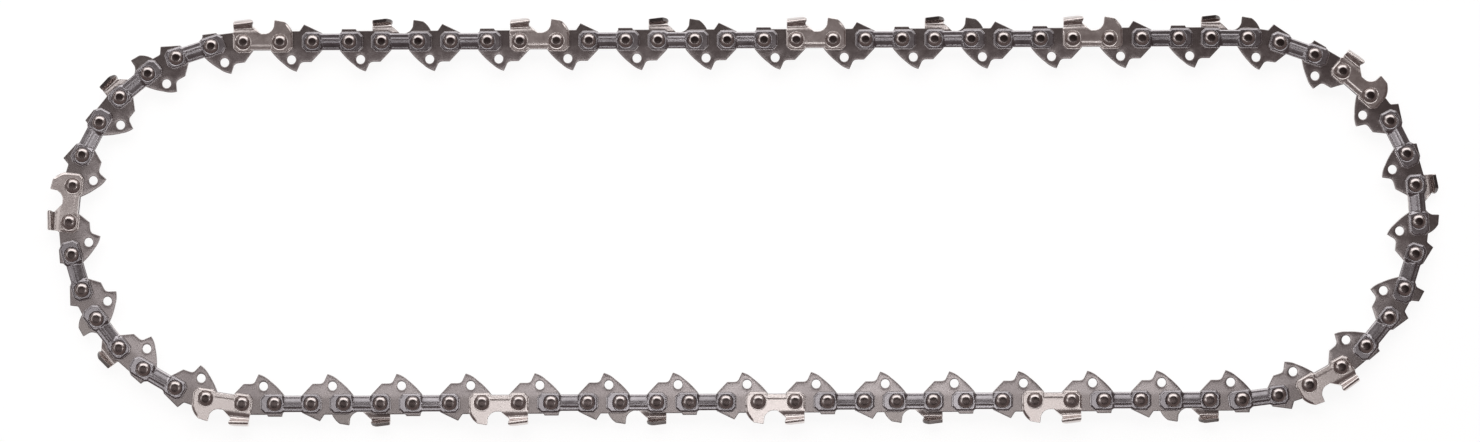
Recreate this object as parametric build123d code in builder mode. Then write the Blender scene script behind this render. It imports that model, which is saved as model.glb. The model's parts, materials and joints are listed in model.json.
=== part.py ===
"""Chainsaw chain loop: drive links turning on rivets between pairs of side links.

The loop lies flat on its left cutters. It travels clockwise seen from above, so a link's own frame
has x along the travel, y out of the loop and z up, with its origin midway between its two rivets.
"""

import math
import os
from build123d import *

# The loop, in millimetres
DRIVE_LINKS = 45
SIDE_PITCH = 9.9  # between the two rivets of a side link
DRIVE_PITCH = 8.74  # between the two rivets of a drive link
END_RADIUS = 48.8  # rivet line round each end of the loop
FIRST_RIVET = -1.6  # first rivet, past the start of the upper straight

# Which pairs of side links hold a cutter, along the travel
SEQUENCE = ("right_cutter", "tie_strap", "left_cutter", "tie_strap")
EXTRA_TIE_INDEX = 20  # the odd pair out, where the sequence is joined

# Which pairs and drive links belong to the two straight runs and the two ends
UPPER_PAIRS, RIGHT_PAIRS = range(0, 15), range(15, 23)
LOWER_PAIRS, LEFT_PAIRS = range(23, 38), range(38, 45)
UPPER_DRIVES, RIGHT_DRIVES = range(0, 15), range(15, 22)
LOWER_DRIVES, LEFT_DRIVES = range(22, 37), range(37, 45)

# Plates
DRIVE_THICKNESS = 1.3
SIDE_THICKNESS = 1.1
SIDE_PLAY = 0.05  # between a drive link and each side link

# Rivets
SHANK_RADIUS = 1.35
STAKED_FIT = 0.02  # round the shank in a side link
RUNNING_FIT = 0.08  # round the shank in a drive link
HEAD_RADIUS = 1.9
HEAD_TOP_RADIUS = 1.2
HEAD_HEIGHT = 0.55

# Drive link
EYE_REACH = 2.63  # past each rivet
EYE_CORNER = 1.3
DRIVE_TOP = 2.95
FLANK_TOP = -2.25
TANG_DEPTH = 8.0
TANG_HEEL_X, TANG_HEEL_Y = -3.0, -6.3
HOOK_FRONT_X, HOOK_FRONT_Y = 0.7, -6.5
GULLET_END_X = 2.2
TOE_X, TOE_Y = 4.0, -5.4
TANG_HOLE_RADIUS = 1.2
TANG_HOLE_X, TANG_HOLE_Y = -1.35, -4.75
FIN_FOOT_X, FIN_TIP_X, FIN_TIP_Y = 0.7, 2.0, 4.9
BUMP_WIDTH, BUMP_RAMP, BUMP_TOP = 4.1, 0.3, 3.45
GUARD_BUMP_RAMP, GUARD_BUMP_TOP = 0.9, 5.1

# Tie strap
STRAP_REAR, STRAP_FRONT = 2.85, 3.8  # past its rivets
STRAP_END_HALF, STRAP_WAIST_HALF = 2.7, 2.2
STRAP_CLIP = 1.2
EYE_FLAT, EYE_EASE = 1.9, 0.7  # from the rivet to the waist

# Cutter
CUTTER_REAR, CUTTER_FRONT = 2.75, 3.5  # past its rivets
CUTTER_BOTTOM, CUTTER_WAIST = -2.8, -2.1
GULLET_FLOOR, GULLET_FRONT_X = 2.3, 1.3
GAUGE_HEEL_X, GAUGE_HEEL_Y = 3.35, 4.1
GAUGE_TIP_X, GAUGE_TIP_Y = 3.55, 5.95
GAUGE_BROW_X, GAUGE_BROW_Y = 6.2, 5.5
GAUGE_CHIN_Y = 2.5
TOOTH_REAR_X, TOOTH_FRONT_X = -7.5, -0.3
EDGE_X = -1.64  # cutting edge, at the outer corner
TOP_HEIGHT, TOP_DROP = 6.55, 0.7  # at the cutting edge, and lower at the heel
KERF_HALF, SIDE_DROP = 3.1, 0.35  # outer face at the edge, and narrower at the heel
TOP_PLATE = 0.9
TOP_REACH = -0.4  # inner end of the top plate, past the middle of the chain
TOOTH_ROOT, TOOTH_FOOT = 1.9, 2.5
SIDE_DIP, SIDE_DIP_Y = 0.2, 3.7  # hollow of the side plate, before it flares outwards
FLARE_TOP, CORNER_TOP = 4.9, 5.5  # the corner, below the tilted top plate
CORNER_SETBACK = 0.5
FILE_RADIUS, FILE_ABOVE = 2.0, 0.8  # the round file, and how far it stands over the edge
FILING_ANGLE = 30.0

SIDE_INNER = DRIVE_THICKNESS / 2 + SIDE_PLAY
SIDE_OUTER = SIDE_INNER + SIDE_THICKNESS
MIDDLE_HEIGHT = KERF_HALF  # the left cutters' outer faces lie on the table
LINK_COUNT = 2 * DRIVE_LINKS


def point_on_loop(distance, straight):
    """Point of the rivet line at a distance past the start of the upper straight."""
    arc = math.pi * END_RADIUS
    half_loop = straight + arc
    distance %= 2 * half_loop
    side = 1
    if distance >= half_loop:
        distance -= half_loop
        side = -1
    if distance < straight:
        return Vector(side * (distance - straight / 2), side * END_RADIUS)
    turn = math.pi / 2 - (distance - straight) / END_RADIUS
    x = straight / 2 + END_RADIUS * math.cos(turn)
    return Vector(side * x, side * END_RADIUS * math.sin(turn))


def bisect(is_low, low, high):
    """Value between low and high where is_low stops being true."""
    for _ in range(60):
        middle = (low + high) / 2
        if is_low(middle):
            low = middle
        else:
            high = middle
    return (low + high) / 2


def walk(straight):
    """Rivets stepped along the loop, and the distance left over after the last link."""
    travelled = FIRST_RIVET
    points = [point_on_loop(travelled, straight)]
    for link in range(LINK_COUNT):
        pitch = DRIVE_PITCH if link % 2 else SIDE_PITCH
        here = points[-1]

        def too_near(distance):
            return (point_on_loop(distance, straight) - here).length < pitch

        travelled = bisect(too_near, travelled + pitch / 2, travelled + 1.5 * pitch)
        points.append(point_on_loop(travelled, straight))
    length = 2 * straight + 2 * math.pi * END_RADIUS
    return points, FIRST_RIVET + length - travelled


def close_loop():
    """Rivets of the loop whose straights are as long as the links need."""
    longest = LINK_COUNT * max(SIDE_PITCH, DRIVE_PITCH) / 2
    straight = bisect(lambda length: walk(length)[1] < 0, 0, longest)
    return walk(straight)[0][:LINK_COUNT]


def link_place(index):
    """Place of a link that starts at a rivet: side links at even ones, drive links at odd ones."""
    rear = RIVETS[index % LINK_COUNT]
    front = RIVETS[(index + 1) % LINK_COUNT]
    middle = (rear + front) / 2
    heading = math.degrees(math.atan2(front.Y - rear.Y, front.X - rear.X))
    return Location((middle.X, middle.Y, MIDDLE_HEIGHT), (0, 0, heading))


def pair_place(pair):
    return link_place(2 * pair)


def drive_place(drive):
    return link_place(2 * drive + 1)


def pair_kind(pair):
    """What the pair holds: a cutter on one side, or tie straps on both."""
    if pair == EXTRA_TIE_INDEX:
        return "tie_strap"
    return SEQUENCE[(pair - (pair > EXTRA_TIE_INDEX)) % len(SEQUENCE)]


def drive_kind(drive):
    """A fin leads each drive link that follows a cutter, to guard the depth gauge."""
    if pair_kind(drive) != "tie_strap":
        return "bumper"
    if pair_kind((drive + 1) % DRIVE_LINKS) != "tie_strap":
        return "plain"
    return "guard"


def make_drive_link(kind):
    """Stamped drive link: two eyes, a hooked tang below and a bump or fin on top."""
    eye = DRIVE_PITCH / 2
    end = eye + EYE_REACH
    heel = Vector(TANG_HEEL_X, TANG_HEEL_Y)
    hook = Vector(0, -TANG_DEPTH)
    hook_front = Vector(HOOK_FRONT_X, HOOK_FRONT_Y)
    gullet_end = Vector(GULLET_END_X, TOE_Y)
    with BuildPart() as link:
        with BuildSketch():
            with BuildLine():
                Polyline((-end, DRIVE_TOP - EYE_CORNER), (-end, FLANK_TOP), heel)
                RadiusArc(heel, hook, -TANG_DEPTH)
                Line(hook, hook_front)
                RadiusArc(hook_front, gullet_end, (gullet_end - hook_front).length)
                Polyline(
                    gullet_end,
                    (TOE_X, TOE_Y),
                    (end, FLANK_TOP),
                    (end, DRIVE_TOP - EYE_CORNER),
                    (end - EYE_CORNER, DRIVE_TOP),
                    (EYE_CORNER - end, DRIVE_TOP),
                    (-end, DRIVE_TOP - EYE_CORNER),
                )
            make_face()
            if kind in ("bumper", "guard"):
                with BuildLine():
                    Polyline((FIN_FOOT_X, 0), (FIN_FOOT_X, DRIVE_TOP), (FIN_TIP_X, FIN_TIP_Y),
                             (end, DRIVE_TOP - EYE_CORNER), (FIN_FOOT_X, 0))
                make_face()
            if kind in ("plain", "guard"):
                top = BUMP_TOP if kind == "plain" else GUARD_BUMP_TOP
                ramp = BUMP_RAMP if kind == "plain" else GUARD_BUMP_RAMP
                rear, front = -eye - BUMP_WIDTH / 2, -eye + BUMP_WIDTH / 2
                with BuildLine():
                    Polyline((rear, 0), (rear, top), (front - ramp, top), (front, DRIVE_TOP),
                             (front, 0), (rear, 0))
                make_face()
        extrude(amount=DRIVE_THICKNESS / 2, both=True)
        with Locations((-eye, 0), (eye, 0)):
            Hole(SHANK_RADIUS + RUNNING_FIT)
        with Locations((TANG_HOLE_X, TANG_HOLE_Y)):
            Hole(TANG_HOLE_RADIUS)
    return link.part


def make_tie_strap():
    """Stamped tie strap of the upper side, with clipped ends and a slim waist."""
    eye = SIDE_PITCH / 2
    rear, front = -eye - STRAP_REAR, eye + STRAP_FRONT
    waist = eye - EYE_FLAT - EYE_EASE
    with BuildPart() as strap:
        with BuildSketch(Plane.XY.offset(SIDE_INNER)):
            with BuildLine():
                Polyline(
                    (rear, 0),
                    (rear, STRAP_END_HALF - STRAP_CLIP),
                    (rear + STRAP_CLIP, STRAP_END_HALF),
                    (EYE_FLAT - eye, STRAP_END_HALF),
                    (-waist, STRAP_WAIST_HALF),
                    (waist, STRAP_WAIST_HALF),
                    (eye - EYE_FLAT, STRAP_END_HALF),
                    (front - STRAP_CLIP, STRAP_END_HALF),
                    (front, STRAP_END_HALF - STRAP_CLIP),
                    (front, 0),
                )
                mirror(about=Plane.XZ)
            make_face()
        extrude(amount=SIDE_THICKNESS)
        with Locations((-eye, 0), (eye, 0)):
            Hole(SHANK_RADIUS + STAKED_FIT)
    return strap.part


def tooth_section(x, drop, narrower):
    """Section of the formed tooth across the travel, as a sketch at a place along it."""
    outer = KERF_HALF - narrower
    inner = outer - SIDE_THICKNESS
    top = TOP_HEIGHT - drop
    flare_top = FLARE_TOP - drop
    across = Plane(origin=(x, 0, 0), x_dir=(0, 0, 1), z_dir=(-1, 0, 0))
    with BuildSketch(across) as section:
        with BuildLine():
            Polyline(
                (SIDE_INNER, TOOTH_ROOT),
                (SIDE_OUTER, TOOTH_ROOT),
                (SIDE_OUTER, TOOTH_FOOT),
                (SIDE_OUTER - SIDE_DIP, SIDE_DIP_Y),
                (outer, flare_top),
                (outer - CORNER_SETBACK, CORNER_TOP - drop),
                (TOP_REACH, top),
                (TOP_REACH, top - TOP_PLATE),
                (inner, flare_top),
                (SIDE_INNER, SIDE_DIP_Y),
                (SIDE_INNER, TOOTH_ROOT),
            )
        make_face()
    return section.sketch


def make_right_cutter():
    """Right cutter: side link with a depth gauge ahead and a formed tooth behind."""
    eye = SIDE_PITCH / 2
    rear, front = -eye - CUTTER_REAR, eye + CUTTER_FRONT
    waist = eye - EYE_FLAT - EYE_EASE
    gullet_front = Vector(GULLET_FRONT_X, GULLET_FLOOR)
    gauge_heel = Vector(GAUGE_HEEL_X, GAUGE_HEEL_Y)
    brow = Vector(GAUGE_BROW_X, GAUGE_BROW_Y)
    chin = Vector(front, GAUGE_CHIN_Y)
    file_y = TOP_HEIGHT + FILE_ABOVE - FILE_RADIUS
    file_x = EDGE_X + math.sqrt(FILE_RADIUS**2 - (TOP_HEIGHT - file_y) ** 2)
    slant = math.radians(FILING_ANGLE)
    past_edge = (TOOTH_FRONT_X - EDGE_X) / (EDGE_X - TOOTH_REAR_X)
    with BuildPart() as cutter:
        heel = tooth_section(TOOTH_REAR_X, TOP_DROP, SIDE_DROP)
        toe = tooth_section(TOOTH_FRONT_X, -past_edge * TOP_DROP, -past_edge * SIDE_DROP)
        loft([heel, toe], ruled=True)
        with BuildSketch(Plane.XY.offset(KERF_HALF)):
            with Locations((file_x, file_y)):
                Circle(FILE_RADIUS)
                Rectangle(2 * FILE_RADIUS, 3 * FILE_RADIUS, align=(Align.MIN, Align.CENTER))
            with Locations((file_x, file_y)):
                Rectangle(2 * FILE_RADIUS, 2 * FILE_RADIUS, align=(Align.CENTER, Align.MIN))
        reach = (KERF_HALF - TOP_REACH) / math.cos(slant)
        extrude(amount=1.5 * reach, dir=(-math.sin(slant), 0, -math.cos(slant)), both=True,
                mode=Mode.SUBTRACT)
        with BuildSketch(Plane.XY.offset(SIDE_INNER)):
            with BuildLine():
                Polyline((rear, TOOTH_FOOT), (rear, CUTTER_BOTTOM + STRAP_CLIP),
                         (rear + STRAP_CLIP, CUTTER_BOTTOM), (EYE_FLAT - eye, CUTTER_BOTTOM),
                         (-waist, CUTTER_WAIST), (waist, CUTTER_WAIST),
                         (eye - EYE_FLAT, CUTTER_BOTTOM), (front - STRAP_CLIP, CUTTER_BOTTOM),
                         (front, CUTTER_BOTTOM + STRAP_CLIP), chin)
                RadiusArc(chin, brow, -(brow - chin).length)
                Polyline(brow, (GAUGE_TIP_X, GAUGE_TIP_Y), gauge_heel)
                RadiusArc(gauge_heel, gullet_front, (gullet_front - gauge_heel).length)
                Polyline(gullet_front, (TOOTH_FRONT_X, GULLET_FLOOR), (TOOTH_FRONT_X, TOOTH_FOOT),
                         (rear, TOOTH_FOOT))
            make_face()
        extrude(amount=SIDE_THICKNESS)
        with Locations((-eye, 0), (eye, 0)):
            Hole(SHANK_RADIUS + STAKED_FIT)
    return cutter.part


def make_rivet():
    """Turned rivet, staked over at both ends, about its middle."""
    end = SIDE_OUTER + HEAD_HEIGHT
    with BuildPart() as rivet:
        with BuildSketch(Plane.XZ):
            with BuildLine():
                Polyline((0, -end), (HEAD_TOP_RADIUS, -end), (HEAD_RADIUS, -SIDE_OUTER),
                         (SHANK_RADIUS, -SIDE_OUTER), (SHANK_RADIUS, SIDE_OUTER),
                         (HEAD_RADIUS, SIDE_OUTER), (HEAD_TOP_RADIUS, end), (0, end), (0, -end))
            make_face()
        revolve(axis=Axis.Z)
    return rivet.part


RIVETS = close_loop()
DRIVE_LINK = {kind: make_drive_link(kind) for kind in ("plain", "bumper", "guard")}
UPPER_STRAP = make_tie_strap()
LOWER_STRAP = mirror(UPPER_STRAP, about=Plane.XY)
RIGHT_CUTTER = make_right_cutter()
LEFT_CUTTER = mirror(RIGHT_CUTTER, about=Plane.XY)
RIVET = make_rivet()


def upper_link(pair):
    """The link of a pair that faces up: the right cutter, or a tie strap."""
    return RIGHT_CUTTER if pair_kind(pair) == "right_cutter" else UPPER_STRAP


def lower_link(pair):
    """The link of a pair that faces down: the left cutter, or a tie strap."""
    return LEFT_CUTTER if pair_kind(pair) == "left_cutter" else LOWER_STRAP


def pair_rivets(pair):
    places = (RIVETS[2 * pair], RIVETS[2 * pair + 1])
    return [RIVET.moved(Location((p.X, p.Y, MIDDLE_HEIGHT))) for p in places]


def write(name, solids):
    node = Compound(label=name, children=solids)
    export_step(node, f"parts/{name}.step")


def write_run(name, pairs, drives):
    """A straight run, lying as one: its like pieces share a node."""
    for kind, label in (("plain", "drive_links"), ("bumper", "bumper_drive_links")):
        chosen = [drive for drive in drives if drive_kind(drive) == kind]
        write(f"{name}_{label}", [DRIVE_LINK[kind].moved(drive_place(d)) for d in chosen])
    rights = [pair for pair in pairs if pair_kind(pair) == "right_cutter"]
    lefts = [pair for pair in pairs if pair_kind(pair) == "left_cutter"]
    write(f"{name}_right_cutters", [RIGHT_CUTTER.moved(pair_place(p)) for p in rights])
    write(f"{name}_left_cutters", [LEFT_CUTTER.moved(pair_place(p)) for p in lefts])
    straps = [UPPER_STRAP.moved(pair_place(p)) for p in pairs if p not in rights]
    straps += [LOWER_STRAP.moved(pair_place(p)) for p in pairs if p not in lefts]
    write(f"{name}_tie_straps", straps)
    write(f"{name}_rivets", [rivet for p in pairs for rivet in pair_rivets(p)])


def write_end(name, pairs, drives):
    """An end of the loop, where every link turns: each has nodes of its own."""
    for number, drive in enumerate(drives, 1):
        link = DRIVE_LINK[drive_kind(drive)].moved(drive_place(drive))
        write(f"{name}_drive_link_{number}", [link])
    for number, pair in enumerate(pairs, 1):
        kind = pair_kind(pair)
        upper = upper_link(pair).moved(pair_place(pair))
        lower = lower_link(pair).moved(pair_place(pair))
        single, riveted = (lower, upper) if kind == "left_cutter" else (upper, lower)
        write(f"{name}_{kind}_{number}", [single])
        write(f"{name}_riveted_strap_{number}", [riveted, *pair_rivets(pair)])


os.makedirs("parts", exist_ok=True)
write_run("upper", UPPER_PAIRS, UPPER_DRIVES)
write_end("right_end", RIGHT_PAIRS, RIGHT_DRIVES)
write_run("lower", LOWER_PAIRS, LOWER_DRIVES)
write_end("left_end", LEFT_PAIRS, LEFT_DRIVES)
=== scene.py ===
"""Chainsaw chain loop lying flat on white, seen from above.

Every link is modelled once in millimetres, in its own frame: x along the travel, y out of the loop and
z up, with its origin midway between its two rivets. Copies are set along the loop and joined into one
piece per node of the frame. At the two ends, where straps and rivets share a node, the rivets are a
piece of their own.
"""

import json
import math

import bpy
import numpy as np
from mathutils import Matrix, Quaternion, Vector
from mathutils.geometry import delaunay_2d_cdt

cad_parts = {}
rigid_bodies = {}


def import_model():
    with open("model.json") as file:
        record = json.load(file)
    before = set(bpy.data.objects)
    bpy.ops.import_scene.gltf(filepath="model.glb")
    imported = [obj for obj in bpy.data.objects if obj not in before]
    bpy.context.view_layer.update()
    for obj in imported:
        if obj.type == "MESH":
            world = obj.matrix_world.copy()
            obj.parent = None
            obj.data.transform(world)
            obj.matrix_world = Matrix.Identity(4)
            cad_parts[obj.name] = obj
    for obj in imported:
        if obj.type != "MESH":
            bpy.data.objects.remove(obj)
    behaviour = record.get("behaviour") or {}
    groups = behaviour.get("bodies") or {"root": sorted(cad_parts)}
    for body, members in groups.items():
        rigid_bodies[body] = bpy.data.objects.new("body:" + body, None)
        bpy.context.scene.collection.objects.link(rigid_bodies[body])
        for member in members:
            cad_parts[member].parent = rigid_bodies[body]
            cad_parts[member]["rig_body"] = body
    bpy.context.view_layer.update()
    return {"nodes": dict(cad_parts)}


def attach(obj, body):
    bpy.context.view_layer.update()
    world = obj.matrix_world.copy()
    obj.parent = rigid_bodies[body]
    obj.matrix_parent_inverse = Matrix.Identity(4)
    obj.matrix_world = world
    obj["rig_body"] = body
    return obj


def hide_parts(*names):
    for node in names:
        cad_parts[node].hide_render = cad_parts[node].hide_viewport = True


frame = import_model()

MM = 0.001
SEED = 7

# The loop, as in the part's source

DRIVE_LINKS = 45
LINK_COUNT = 2 * DRIVE_LINKS
SIDE_PITCH = 9.9
DRIVE_PITCH = 8.74
END_RADIUS = 48.8
FIRST_RIVET = -1.6
SEQUENCE = ("right_cutter", "tie_strap", "left_cutter", "tie_strap")
EXTRA_TIE_INDEX = 20
BISECT_ROUNDS = 50

# Numbers of the pairs of side links, and of the drive links, in each run and each end

RUNS = {
    "upper": (range(0, 15), range(0, 15)),
    "lower": (range(23, 38), range(22, 37)),
}
ENDS = {
    "right_end": (range(15, 23), range(15, 22)),
    "left_end": (range(38, 45), range(37, 45)),
}

# Plates and rivets

DRIVE_THICKNESS = 1.3
SIDE_THICKNESS = 1.1
SIDE_INNER = 0.70
SIDE_OUTER = SIDE_INNER + SIDE_THICKNESS
SIDE_MIDDLE = (SIDE_INNER + SIDE_OUTER) / 2
MIDDLE_HEIGHT = 3.1
DRIVE_EYE = DRIVE_PITCH / 2
SIDE_EYE = SIDE_PITCH / 2
SHANK_RADIUS = 1.35
DRIVE_PLAY = 0.08
SIDE_PLAY = 0.02
DRIVE_RIM = 0.14
SIDE_RIM = 0.12

# Meshes: lengths of outline pieces, and steps between the points of a plate's front and back

DRIVE_EDGE_STEP = 0.5
SIDE_EDGE_STEP = 0.45
DRIVE_STEPS = (0.6, 0.6)
STRAP_STEPS = (0.42, 1.6)
CUTTER_STEPS = (0.42, 0.6)
COARSE_STEP = 1.0
FINE_RINGS = (0.3, 0.7, 1.15)
COARSE_RINGS = (0.5, 1.2)
RING_CLEAR = 0.85
ROW_SPACING = 0.87
GRID_CLEAR = 0.45
FOLD_CLEAR = 0.6
FOLD_MARGIN = 0.2
POINT_DIGITS = 3
INSIDE_ONLY = 1
MESH_TOLERANCE = 1e-7
TINY = 1e-9
CORNER_SHARE = 0.48
LEAST_SETBACK = 1e-3
TURN_STEP = math.radians(20)
SHARP_ANGLE = math.radians(50)
# Width of the painted rim light, a lighter tone along every edge
PAINTED_RIM_LIGHT_WIDTH = 0.35


def smooth(value, low, high):
    """0 below low and 1 above high, with an eased rise between."""
    t = np.clip((value - low) / (high - low), 0, 1)
    return t * t * (3 - 2 * t)


# Outlines

def rounded_loop(corners, step):
    """Closed outline through corners (x, y, radius), with its arcs and straights cut into short pieces."""
    corners = [(np.array(c[:2], float), c[2]) for c in corners]
    count = len(corners)
    points = []
    for i, (here, radius) in enumerate(corners):
        to_before = corners[i - 1][0] - here
        to_after = corners[(i + 1) % count][0] - here
        reach = CORNER_SHARE * min(np.hypot(*to_before), np.hypot(*to_after))
        a = to_before / np.hypot(*to_before)
        b = to_after / np.hypot(*to_after)
        turn = math.pi - math.acos(max(-1, min(1, float(a @ b))))
        setback = min(radius * math.tan(turn / 2), reach)
        if setback < LEAST_SETBACK:
            points.append(here)
            continue
        start = here + a * setback
        end = here + b * setback
        parts = max(2, math.ceil(turn / TURN_STEP))
        for k in range(parts + 1):
            t = k / parts
            points.append((1 - t) ** 2 * start + 2 * t * (1 - t) * here + t ** 2 * end)
    cut = []
    for i, here in enumerate(points):
        after = points[(i + 1) % len(points)]
        parts = max(1, math.ceil(np.hypot(*(after - here)) / step))
        cut += [here + (after - here) * k / parts for k in range(parts)]
    return np.array(cut)


def arc(start, end, bulge, count=7):
    """Corners along an arc between two corners that stands off its chord by bulge, to the left of it."""
    start = np.array(start[:2], float)
    end = np.array(end[:2], float)
    chord = end - start
    left = np.array([-chord[1], chord[0]]) / np.hypot(*chord)
    steps = [k / count for k in range(1, count)]
    return [(*(start + chord * t + left * bulge * 4 * t * (1 - t)), 0.0) for t in steps]


def circle(x, y, radius, count=28):
    """Outline of a round hole."""
    angles = np.arange(count) * 2 * math.pi / count
    return np.stack([x + radius * np.cos(angles), y + radius * np.sin(angles)], 1)


def bores(eye, play):
    """Holes for the two rivets of a link."""
    return [circle(x, 0, SHANK_RADIUS + play) for x in (-eye, eye)]


# Plates

def loop_distance(points, loops):
    """Distance of each point from the nearest edge of the loops."""
    best = np.full(len(points), np.inf)
    for loop in loops:
        along = np.roll(loop, -1, 0) - loop
        length = (along ** 2).sum(1)
        for a, d, size in zip(loop, along, length):
            t = np.clip(((points - a) @ d) / size, 0, 1)
            best = np.minimum(best, np.hypot(*(points - a - t[:, None] * d).T))
    return best


def inside(points, loops):
    """Whether each point is inside an odd number of the loops: in the outline and in none of its holes."""
    hit = np.zeros(len(points), bool)
    for loop in loops:
        for (ax, ay), (bx, by) in zip(loop, np.roll(loop, -1, 0)):
            if ay == by:
                continue
            crosses = (ay > points[:, 1]) != (by > points[:, 1])
            hit ^= crosses & (points[:, 0] < (bx - ax) * (points[:, 1] - ay) / (by - ay) + ax)
    return hit


def face_points(loops, rings, step, folds):
    """Points to mesh a face with: the loops, rings beside them, folds and a staggered grid between."""
    edge = np.concatenate(loops)
    extra = []
    for loop in loops:
        along = np.roll(loop, -1, 0) - np.roll(loop, 1, 0)
        normal = np.stack([-along[:, 1], along[:, 0]], 1)
        normal /= np.maximum(np.hypot(*normal.T), TINY)[:, None]
        for ring in rings:
            for side in (1, -1):
                extra.append((loop + side * ring * normal, RING_CLEAR * ring))
    low = edge.min(0)
    high = edge.max(0)
    rows = np.arange(low[1], high[1], step * ROW_SPACING)
    columns = np.arange(low[0], high[0], step)
    grid = np.array([(x + (r % 2) * step / 2, y) for r, y in enumerate(rows) for x in columns])
    if len(folds):
        apart = np.hypot(*(grid[:, None] - folds[None]).transpose(2, 0, 1)).min(1)
        grid = grid[apart > FOLD_CLEAR * step]
        extra.append((folds, FOLD_MARGIN))
    extra.append((grid, rings[-1] + GRID_CLEAR * step))
    kept = []
    for points, clear in extra:
        far = inside(points, loops) & (loop_distance(points, loops) >= clear)
        kept.append(points[far])
    return edge, np.concatenate(kept)


def mesh_face(loops, rings, step, folds):
    """Mesh of a face: its points, its triangles, and the places of the loops' points among the points."""
    edge, extra = face_points(loops, rings, step, folds)
    points = np.concatenate([edge, extra])
    rounded = {}
    for i, p in enumerate(points):
        rounded.setdefault((round(p[0], POINT_DIGITS), round(p[1], POINT_DIGITS)), i)
    keep = sorted(i for i in rounded.values() if i >= len(edge))
    points = [Vector(p) for p in np.concatenate([edge, points[keep]])]
    borders = []
    first = 0
    for loop in loops:
        size = len(loop)
        borders += [(first + k, first + (k + 1) % size) for k in range(size)]
        first += size
    verts, _, faces, origin, _, _ = delaunay_2d_cdt(points, borders, [], INSIDE_ONLY, MESH_TOLERANCE)
    place = {}
    for i, sources in enumerate(origin):
        for source in sources:
            place[source] = i
    flat = np.array([tuple(v) for v in verts])
    triangles = np.array(faces)
    middles = flat[triangles].mean(1)
    triangles = triangles[~inside(middles, loops[1:])]
    a, b, c = (flat[triangles[:, k]] for k in range(3))
    ahead = b - a
    across = c - a
    area = ahead[:, 0] * across[:, 1] - ahead[:, 1] * across[:, 0]
    triangles[area < 0] = triangles[area < 0][:, ::-1]
    return flat, triangles, [place[i] for i in range(len(edge))]


def orient_walls(faces, first_wall, loops):
    """Turns the walls outwards: an outline's own direction decides which way they face."""
    start = first_wall
    for number, loop in enumerate(loops):
        after = np.roll(loop, -1, 0)
        area = (loop[:, 0] * after[:, 1] - after[:, 0] * loop[:, 1]).sum()
        hole = number > 0
        if (area > 0) == hole:
            for k in range(start, start + len(loop)):
                faces[k] = faces[k][::-1]
        start += len(loop)
    return faces


def plate(outline, holes, thickness, rim, reliefs, form, steps, bareness_and_shade=None, folds=()):
    """Closed plate about z = 0: rounded rims, relief on both faces, then formed into its place.

    A relief says how far a face is sunk at points x, y that lie a distance from the nearest edge. The
    bareness function says how much of the dark tone shows at points x, y: painted shade, and on cutters the
    bare steel of ground edges. Folds are more points of the front face. The result is the vertices, the
    faces, how much painted rim light each vertex has, and how much of the dark tone.
    """
    loops = [outline] + holes
    sides = []
    for sign, relief, step in zip((1, -1), reliefs, steps):
        front = sign > 0
        rings = [share * rim for share in (FINE_RINGS if step < COARSE_STEP else COARSE_RINGS)]
        if front and len(folds):
            rings += PAD_RINGS
        flat, triangles, border = mesh_face(loops, rings, step, folds if front else ())
        near = loop_distance(flat, loops)
        near[border] = 0
        short = np.clip(rim - near, 0, rim)
        sunk = rim - np.sqrt(np.maximum(rim ** 2 - short ** 2, 0))
        height = sign * (thickness / 2 - sunk - relief(flat[:, 0], flat[:, 1], near))
        verts = np.column_stack([flat, height])
        sides.append((verts, triangles if front else triangles[:, ::-1], border, near))
    (top, top_faces, top_border, top_near), (under, under_faces, under_border, under_near) = sides
    shift = len(top)
    faces = [tuple(f) for f in top_faces] + [tuple(f + shift) for f in under_faces]
    first_wall = len(faces)
    first = 0
    for loop in loops:
        size = len(loop)
        for k in range(size):
            i = first + k
            j = first + (k + 1) % size
            faces.append((top_border[i], under_border[i] + shift, under_border[j] + shift, top_border[j]))
        first += size
    flat = np.concatenate([top, under])
    # Painted rim light: a lighter tone along every edge, fading out inwards
    painted_rim_light = np.clip(1 - np.concatenate([top_near, under_near]) / PAINTED_RIM_LIGHT_WIDTH, 0, 1)
    # Share of the dark tone: painted shade, and on cutters the bare steel of ground edges
    bare_and_shade = np.zeros(len(flat))
    if bareness_and_shade:
        bare_and_shade = bareness_and_shade(flat[:, 0], flat[:, 1], np.arange(len(flat)) >= len(top))
    return form(flat), orient_walls(faces, first_wall, loops), painted_rim_light, bare_and_shade


def plain(x, y, near):
    """Relief of a flat face."""
    return np.zeros_like(x)


# Pads and waists of the side links

EYE_FLAT = 1.9
EYE_EASE = 0.7
PAD_EDGE = SIDE_EYE - EYE_FLAT
WAIST_EDGE = PAD_EDGE - EYE_EASE
PAD_ROUND = 0.5
WAIST_ROUND = 0.6
PAD_CLIP = 1.2
SINK_DEPTH = 0.2
SINK_FLOOR = 1.76
SINK_TOP = 2.16
PAD_DEPTH = 0.16
PAD_LEDGE = 0.26
PAD_TOP = 0.46
PAD_EYE = 1.75
PAD_RINGS = [PAD_LEDGE, (PAD_LEDGE + PAD_TOP) / 2, PAD_TOP, 0.62, 0.79, 0.93]
STEP_COLUMNS = 4
WAIST_COLUMNS = 12
FOLD_TO_SINK = 0.2


def countersink(x, y):
    """Recess round each rivet head."""
    away = np.hypot(np.abs(x) - SIDE_EYE, y)
    return SINK_DEPTH * (1 - smooth(away, SINK_FLOOR, SINK_TOP))


def pad_step(x, y, near):
    """Step round the raised pads: a narrow ledge along the edge, and a steep rise inside it."""
    clear_of_bore = np.hypot(np.abs(x) - SIDE_EYE, y) > PAD_EYE
    return PAD_DEPTH * (1 - smooth(near, PAD_LEDGE, PAD_TOP)) * clear_of_bore


def waist_share(x, start, end):
    """1 across the waist and 0 on the pads, with a short step between."""
    return 1 - smooth(np.abs(x), PAD_EDGE - start, PAD_EDGE - end)


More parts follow.
